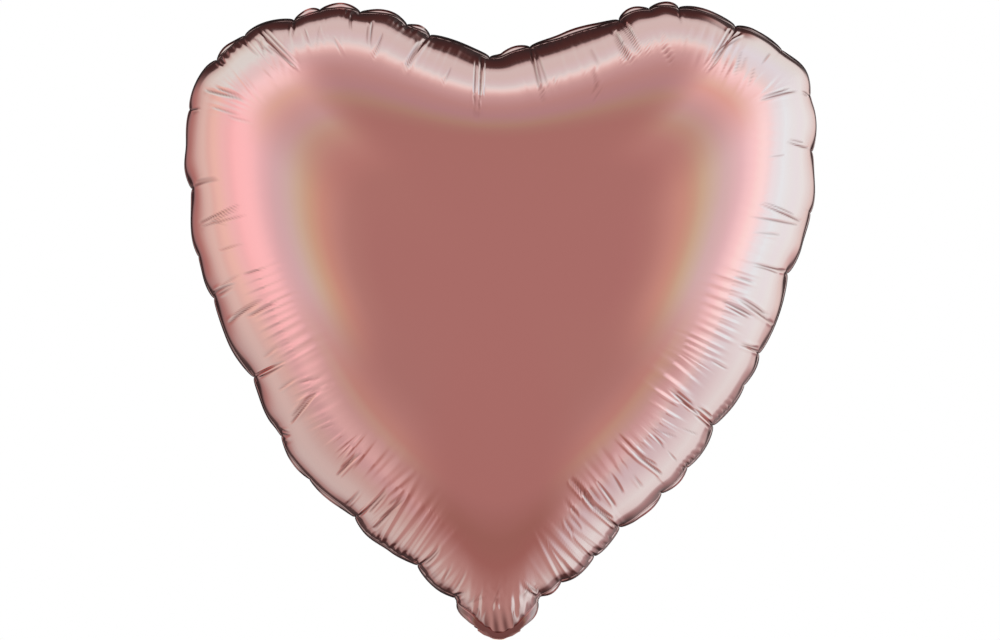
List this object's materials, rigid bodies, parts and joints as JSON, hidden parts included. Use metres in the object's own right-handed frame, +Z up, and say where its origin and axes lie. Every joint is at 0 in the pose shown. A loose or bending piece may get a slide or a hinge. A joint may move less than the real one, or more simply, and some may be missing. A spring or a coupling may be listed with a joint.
{
  "type": "heart-shaped foil balloon",
  "caption": "Inflated heart-shaped balloon of two metallised film sheets sealed round the rim, with a folding tail and a flat self-sealing valve inside its tip.",
  "frame": {"origin": "middle of the fold line at the bottom tip, where the ribbon is tied; the rim seal lies in the plane y = 0", "axes": "+Z up to the lobes, +X to the right seen from the front, -Y out of the front panel; the thin way through the balloon is Y"},
  "size_m": [0.381, 0.165, 0.3837],
  "materials": {
    "rose_foil": "satin rose-gold metallised film with a pearly rainbow sheen",
    "valve_film": "thin clear polyethylene film"
  },
  "bodies": {
    "balloon": {"front_panel": "rose_foil", "back_panel": "rose_foil", "valve_neck_front": "valve_film", "valve_neck_back": "valve_film"},
    "tail": {"tail_front_film": "rose_foil", "tail_back_film": "rose_foil", "valve_throat_front": "valve_film", "valve_throat_back": "valve_film"},
    "valve_tongue": {"valve_tongue_front": "valve_film", "valve_tongue_back": "valve_film"}
  },
  "joints": [
    {"name": "tail_fold", "type": "hinge", "parent": "balloon", "child": "tail", "pos_m": [0, 0, 0], "axis": [-1, 0, 0], "range_deg": [0, 248]},
    {"name": "valve_tongue_sway", "type": "hinge", "parent": "balloon", "child": "valve_tongue", "pos_m": [0, 0, 0.01], "axis": [1, 0, 0], "range_deg": [-15, 15], "stiffness_Nm_per_rad": 0.0005}
  ]
}
